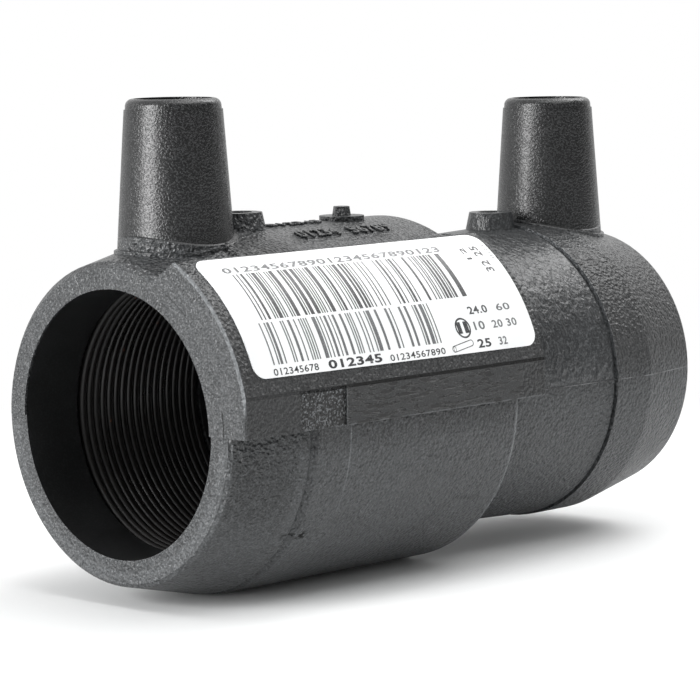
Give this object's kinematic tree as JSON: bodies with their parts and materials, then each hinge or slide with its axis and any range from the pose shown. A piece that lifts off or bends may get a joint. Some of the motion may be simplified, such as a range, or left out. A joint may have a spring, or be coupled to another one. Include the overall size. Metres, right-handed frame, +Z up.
{
  "type": "electrofusion coupler",
  "caption": "Black polyethylene reducing electrofusion coupler with two terminal shrouds, a wire-wound bore and a label pad.",
  "frame": {"origin": "centre of the large socket's mouth", "axes": "+X along the common axis towards the small socket's mouth, +Z up the terminal shrouds, label on the -Y side"},
  "size_m": [0.0875, 0.0439, 0.06],
  "materials": {
    "housing_black": "matte",
    "coil_cover": "gloss",
    "terminal_brass": "satin",
    "indicator_black": "matte",
    "label_paper": "satin"
  },
  "bodies": {
    "root": {"coupler_body": "housing_black", "heating_coil": "coil_cover", "terminal_pin_near": "terminal_brass", "terminal_pin_far": "terminal_brass", "fusion_indicator_near": "indicator_black", "fusion_indicator_far": "indicator_black", "label": "label_paper"}
  },
  "joints": []
}
